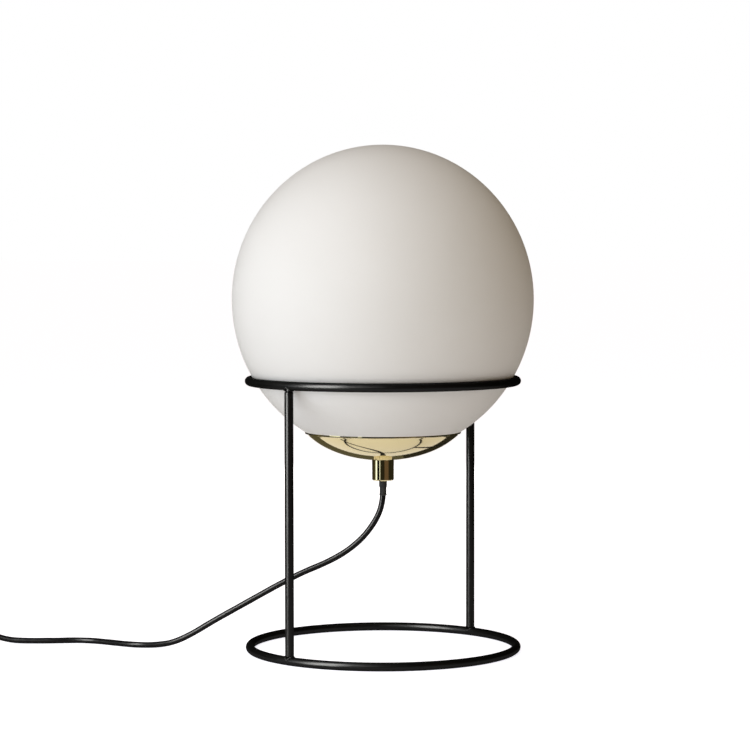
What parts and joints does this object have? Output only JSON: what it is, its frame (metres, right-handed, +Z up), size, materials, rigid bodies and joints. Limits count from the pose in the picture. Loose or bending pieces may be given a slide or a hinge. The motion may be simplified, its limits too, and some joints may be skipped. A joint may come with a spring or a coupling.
{
  "type": "glass globe table lamp",
  "caption": "Table lamp: an opal glass globe resting on a round-bar ring stand, with a brass dish and gland beneath, corded switch and plug.",
  "frame": {"origin": "on the table, under the middle of the base ring", "axes": "+Z up along the lamp's axis, -Y towards the viewer, the cord leaves along -X"},
  "size_m": [0.5789, 0.2773, 0.4203],
  "materials": {
    "powder_coat": "satin black powder coat on steel bar",
    "opal_glass": "satin opal white glass",
    "polished_brass": "polished",
    "black_rubber": "matt",
    "plated_steel": "zinc plated",
    "black_plastic": "moulded black",
    "cord_sheath": "glossy black PVC flex",
    "wire_brown": "PVC insulation",
    "wire_blue": "PVC insulation",
    "holder_plastic": "moulded black",
    "ceramic": "glazed ceramic core",
    "contact_brass": "plain brass",
    "bulb_glass": "white coated bulb glass",
    "bulb_metal": "bright cap metal"
  },
  "bodies": {
    "stand": {"base_ring": "powder_coat", "top_ring": "powder_coat", "front_leg": "powder_coat", "rear_leg": "powder_coat", "cord_drop": "cord_sheath", "cord_link": "cord_sheath", "cord_coil": "cord_sheath", "cord_tail": "cord_sheath", "cord_tie": "black_plastic", "switch_base": "black_plastic", "switch_cover": "black_plastic", "switch_terminals": "contact_brass", "switch_screws": "plated_steel", "plug_body": "black_plastic", "plug_pins": "contact_brass"},
    "fitter": {"brass_dish": "polished_brass", "glass_gasket": "black_rubber", "spring_crown": "plated_steel", "threaded_tube": "plated_steel", "tooth_washer": "plated_steel", "lock_nut": "plated_steel", "brass_gland": "polished_brass", "cord_grip": "black_plastic", "grip_screw": "plated_steel", "strain_sleeve": "black_rubber", "cord_inner": "cord_sheath", "live_wire": "wire_brown", "neutral_wire": "wire_blue", "holder_cap": "holder_plastic", "holder_shell": "holder_plastic", "holder_core": "ceramic", "screw_shell": "contact_brass", "centre_contact": "contact_brass", "side_contact": "contact_brass", "terminal_screws": "plated_steel"},
    "globe": {"glass_globe": "opal_glass"},
    "bulb_rise": {"bulb_tip": "bulb_metal"},
    "bulb": {"bulb_glass": "bulb_glass", "bulb_cap": "bulb_metal", "bulb_insulator": "black_plastic"},
    "rocker": {"switch_rocker": "black_plastic", "switch_bridge": "contact_brass"}
  },
  "joints": [
    {"name": "head_lift", "type": "slide", "parent": "stand", "child": "fitter", "axis": [0, 0, 1], "range_m": [0, 0.12]},
    {"name": "globe_lift", "type": "slide", "parent": "fitter", "child": "globe", "axis": [0, 0, 1], "range_m": [0, 0.15]},
    {"name": "bulb_lift", "type": "slide", "parent": "fitter", "child": "bulb_rise", "axis": [0, 0, 1], "range_m": [0, 0.0182]},
    {"name": "bulb_turn", "type": "hinge", "parent": "bulb_rise", "child": "bulb", "pos_m": [0, 0, 0.2], "axis": [0, 0, 1], "range_deg": [0, 1800]},
    {"name": "rocker_tilt", "type": "hinge", "parent": "stand", "child": "rocker", "pos_m": [-0.378, 0.038, 0.013], "axis": [0, -1, 0], "range_deg": [0, 16]}
  ],
  "couplings": [
    {"joint": "bulb_lift", "follows": "bulb_turn", "m_per_rad": 0.00057757}
  ]
}
